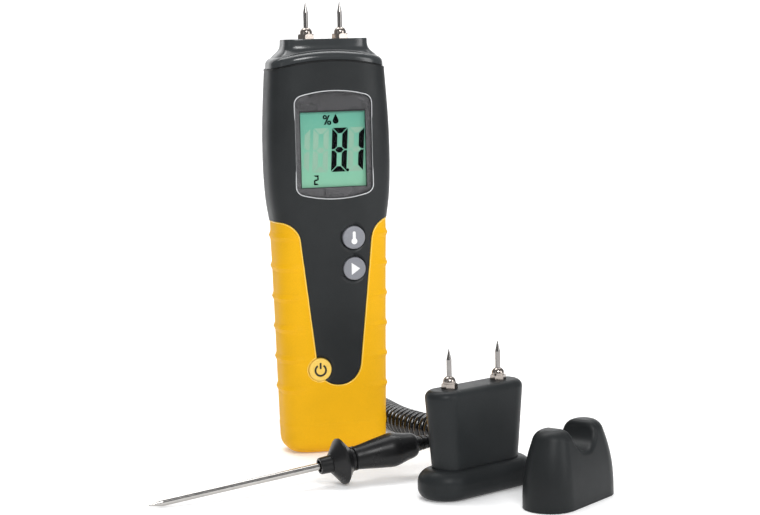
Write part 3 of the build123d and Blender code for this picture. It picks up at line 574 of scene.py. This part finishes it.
def bead(name, points, radius, material, closed=False):
    """A thin round bead along a chain of points, part of the meter."""
    data = bpy.data.curves.new(name, "CURVE")
    data.dimensions = "3D"
    data.bevel_depth = radius * MM
    data.bevel_resolution = 3
    data.use_fill_caps = True
    spline = data.splines.new("POLY")
    spline.points.add(len(points) - 1)
    for control, place in zip(spline.points, points):
        control.co = (*place, 1.0)
    spline.use_cyclic_u = closed
    piece = link(bpy.data.objects.new(name, data))
    data.materials.append(material)
    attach(piece, "meter")


def make_window_lip():
    """The fine raised lip round the display opening, laid on the curved case, painted pale grey as a
    highlight along its edge.
    """
    pane = NODES["display_window"].data
    front_y = min(v.co.y for v in pane.vertices)
    rim = {(round(v.co.x, 6), round(v.co.z, 6)) for v in pane.vertices if v.co.y < front_y + 1e-5}
    low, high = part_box("display_window")
    middle = (low + high) / 2
    rim = sorted(rim, key=lambda p: math.atan2(p[1] - middle.z, p[0] - middle.x))
    tree = BVHTree.FromObject(NODES["front_case"], bpy.context.evaluated_depsgraph_get())
    points = []
    for x, z in rim:
        grow = Vector((x - middle.x, 0, z - middle.z)).normalized()
        probe = Vector((x, PROBE_START, z)) + grow * LIP_PROBE * MM
        hit = tree.ray_cast(probe, Vector((0, 1, 0)))[0]
        points.append(Vector((x, hit.y + LIP_PROUD * MM, z)) + grow * LIP_OUT * MM)
    # Painted highlight: the lip is a pale grey far lighter than the charcoal case, for the light its
    # polished edge catches.
    look = moulded("window_lip_painted_highlight", (0.50, 0.51, 0.52), 0.2, coat=0.5)
    bead("window_lip", points, LIP_RADIUS, look, closed=True)


def is_outer_rim(edge):
    """True where a shell's outer skin ends sharply at a wall that faces up, down or sideways."""
    if len(edge.link_faces) != 2:
        return False
    middle = (edge.verts[0].co + edge.verts[1].co) / 2
    outward = Vector((middle.x, middle.y, 0)).normalized()
    normals = [face.normal for face in edge.link_faces]
    walls = [n for n in normals if abs(n.y) < WALL_LEAN and n.dot(outward) < WALL_OUTWARD]
    skins = [n for n in normals if n.dot(outward) > SKIN_OUTWARD]
    return len(walls) == 1 and len(skins) == 1 and walls[0].dot(skins[0]) <= RIM_SHARP


def chains_of(links):
    """Follows neighbouring vertices from end to end."""
    chains, seen = [], set()
    for first in [v for v in links if len(links[v]) == 1] + list(links):
        if first in seen:
            continue
        chain, here = [], first
        while here is not None:
            seen.add(here)
            chain.append(here.co.copy())
            here = next((v for v in links[here] if v not in seen), None)
        chains.append(chain)
    return chains


def outer_rim(node, low_z, high_z):
    """Chains of points along a shell's outer rim between two heights."""
    mesh = bmesh.new()
    mesh.from_mesh(NODES[node].data)
    bmesh.ops.remove_doubles(mesh, verts=mesh.verts[:], dist=0.002 * MM)
    links = {}
    for edge in mesh.edges:
        a, b = edge.verts
        if low_z < (a.co.z + b.co.z) / 2 / MM < high_z and is_outer_rim(edge):
            links.setdefault(a, []).append(b)
            links.setdefault(b, []).append(a)
    chains = chains_of(links)
    mesh.free()
    return [chain for chain in chains if len(chain) > RIM_POINTS]


def make_rims():
    """Rounded lips along the rims of the grip, painted lighter as a highlight, and of the shells under the
    head, painted dark as the seam's shade.
    """
    # Painted highlight: the grip's lips are a lighter, glossier yellow than the grip, for the light their
    # edges catch.
    grip_lip_highlight = moulded("grip_lip_painted_highlight", (0.95, 0.60, 0.06), 0.3, grain=0.3, depth=0.01, vary=0.03, coat=0.3)
    # Painted shade: the lips on the shells' rims under the head are a fifth as bright as the case, for the
    # shade in the seam's gap.
    seam_lip_shade = moulded("seam_lip_painted_shade", tint(CHARCOAL, 0.2), 0.35, specular=0.2)
    looks = {"grip_rubber": grip_lip_highlight, "case_plastic": seam_lip_shade}
    for node, low_z, high_z, radius, slot_name in RIMS:
        for i, chain in enumerate(outer_rim(node, low_z, high_z)):
            bead(f"{node}_lip_{i}", chain, radius, looks[slot_name])


# widths of the painted shade bands inside the display's opening, broadest where the recess's shadow falls
SHADE_WIDTHS = (0.6, 0.15, 0.3, 0.8)     # left, right, foot, top
SHADE_DEPTH = 0.55                       # of the mask's thickness
SHADE_THICK = 0.4


def make_recess_shade():
    """Painted shade: dark bands just inside the display's opening, where its recess shades the display, the
    upper one broadest.
    """
    black_look = moulded("recess_shade_black", (0.006, 0.006, 0.008), 0.4, vary=0.0)
    low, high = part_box("display_mask")
    front_y = low.y + SHADE_DEPTH * (high.y - low.y)
    left, right, foot, top = OPENING
    near, far, slim, broad = SHADE_WIDTHS
    bars = [
        [(left, foot), (left + near, foot), (left + near, top), (left, top)],
        [(right - far, foot), (right, foot), (right, top), (right - far, top)],
        [(left + near, top - broad), (right - far, top - broad), (right - far, top), (left + near, top)],
        [(left + near, foot), (right - far, foot), (right - far, foot + slim), (left + near, foot + slim)],
    ]
    prism("display_recess_shade", bars, front_y, SHADE_THICK, black_look, "meter")


# ---- stage, in metres and watts ----
FLOOR_SIDES = (-1.3, 2.3)
FLOOR_FRONT = -3.0
FLOOR_GAP = 0.0002      # below the object, so that the two don't share a plane
FLOOR_GLOW = 0.22
BACKDROP_Y = 1.6
BACKDROP_HIGH = 2.6
BACKDROP_BEND = 0.9
BEND_STEPS = 24
SKY_COLOUR = (0.95, 0.97, 1.0, 1.0)
SKY_STRENGTH = 0.3
LIGHTS = [
    # name, place, target, size, power
    ("key", (-0.08, -1.0, 0.78), (0, -0.03, 0.1), (0.4, 0.4), 7),
    ("strip", (-0.85, -0.55, 0.35), (0, 0, 0.1), (0.08, 0.5), 0.2),
    ("fill", (0.75, -0.8, 0.4), (0, 0, 0.1), (0.4, 0.6), 3.2),
    ("top", (0.0, 0.15, 0.95), (0, -0.05, 0.05), (0.9, 0.5), 4.2),
    ("backdrop", (0.1, 0.6, 1.6), (0.1, 1.6, 0.4), (2.4, 0.6), 20),
]


def make_stage():
    """A pale floor that bends up into a backdrop behind the object."""
    bend_y = BACKDROP_Y - BACKDROP_BEND
    profile = [(FLOOR_FRONT, 0.0), (bend_y, 0.0)]
    for i in range(1, BEND_STEPS + 1):
        turn = 0.5 * math.pi * i / BEND_STEPS
        profile.append((bend_y + BACKDROP_BEND * math.sin(turn), BACKDROP_BEND * (1 - math.cos(turn))))
    profile.append((BACKDROP_Y, BACKDROP_HIGH))
    mesh = bmesh.new()
    rows = []
    for y, z in profile:
        rows.append([mesh.verts.new((x, y, z - FLOOR_GAP)) for x in FLOOR_SIDES])
    for (a, b), (c, d) in zip(rows, rows[1:]):
        mesh.faces.new((a, b, d, c)).smooth = True
    data = bpy.data.meshes.new("floor")
    mesh.to_mesh(data)
    mesh.free()
    floor = link(bpy.data.objects.new("floor", data))
    pale = moulded("floor_look", (0.93, 0.93, 0.93), 0.8, grain=2.0, depth=0.0, vary=0.01, specular=0.1)
    glow = pale.node_tree.nodes["Principled BSDF"]
    glow.inputs["Emission Color"].default_value = (1.0, 1.0, 1.0, 1.0)
    glow.inputs["Emission Strength"].default_value = FLOOR_GLOW
    data.materials.append(pale)


def area_light(name, place, target, size, power):
    """A rectangular light that faces its target."""
    data = bpy.data.lights.new(name, "AREA")
    data.shape = "RECTANGLE"
    data.size, data.size_y = size
    data.energy = power
    light = link(bpy.data.objects.new(name, data))
    light.location = place
    light.rotation_euler = (Vector(target) - Vector(place)).to_track_quat("-Z", "Y").to_euler()


def make_lights():
    """A dim even sky and soft lights round the object."""
    world = bpy.data.worlds.new("studio")
    world.use_nodes = True
    sky = world.node_tree.nodes["Background"]
    sky.inputs["Color"].default_value = SKY_COLOUR
    sky.inputs["Strength"].default_value = SKY_STRENGTH
    bpy.context.scene.world = world
    bpy.context.scene.view_settings.view_transform = "Standard"
    for light in LIGHTS:
        area_light(*light)


make_camera()
lead = make_curly_lead()
lead.data.materials.append(made["lead_skin"])
dress_nodes()
make_display()
make_key_marks()
make_window_lip()
make_rims()
make_recess_shade()
make_stage()
make_lights()
